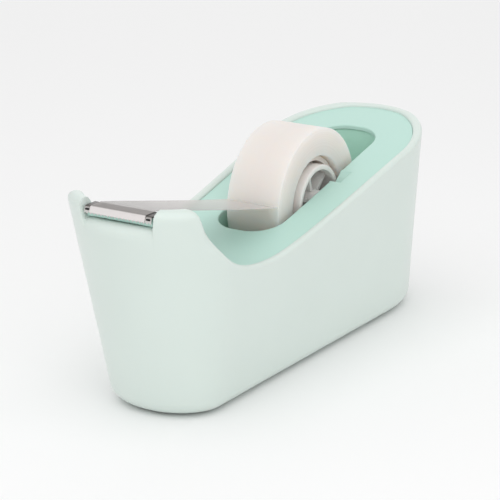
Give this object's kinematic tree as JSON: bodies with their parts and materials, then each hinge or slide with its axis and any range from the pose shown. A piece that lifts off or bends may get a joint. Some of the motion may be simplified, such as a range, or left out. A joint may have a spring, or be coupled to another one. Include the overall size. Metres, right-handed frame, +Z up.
{
  "type": "tape dispenser",
  "caption": "Weighted desk tape dispenser: flared wave-rimmed casing, tape roll on a lift-out hub, toothed cutter at the nose.",
  "frame": {"origin": "centre of the box around the part, at the surface it stands on", "axes": "+Z up; +X from the cutter nose to the high back; Y across, the two sides alike"},
  "size_m": [0.1608, 0.0534, 0.07],
  "materials": {
    "shell": "satin pearl, pale mint",
    "deck": "fine satin, mint",
    "well": "fine satin, mint",
    "blade": "rolled, bright",
    "tape": "frosted film wound up",
    "core": "moulded, cream",
    "hub": "clear, polished",
    "film": "frosted film",
    "steel": "zinc plated",
    "ballast": "as sawn",
    "foam": "closed-cell foam"
  },
  "bodies": {
    "root": {"outer_shell": "shell", "deck_insert": "deck", "tape_well": "well", "cutter_bridge": "deck", "cutter_blade": "blade", "tape_tail": "film", "base_plate": "well", "ballast_bar": "ballast", "foam_pad": "foam", "base_screw_1": "steel", "base_screw_2": "steel", "base_screw_3": "steel", "base_screw_4": "steel", "well_screw_1": "steel", "well_screw_2": "steel", "well_screw_3": "steel", "well_screw_4": "steel", "bridge_screw_1": "steel", "bridge_screw_2": "steel"},
    "axle": {"axle_pin": "steel"},
    "roll": {"hub_wheel": "hub", "tape_core": "core", "tape_windings": "tape"}
  },
  "joints": [
    {"name": "roll_lift", "type": "slide", "parent": "root", "child": "axle", "axis": [0.7804, 0, 0.6252], "range_m": [0, 0.0155]},
    {"name": "roll_spin", "type": "hinge", "parent": "axle", "child": "roll", "pos_m": [0.0171, 0, 0.04652], "axis": [0, 1, 0], "continuous": true}
  ]
}
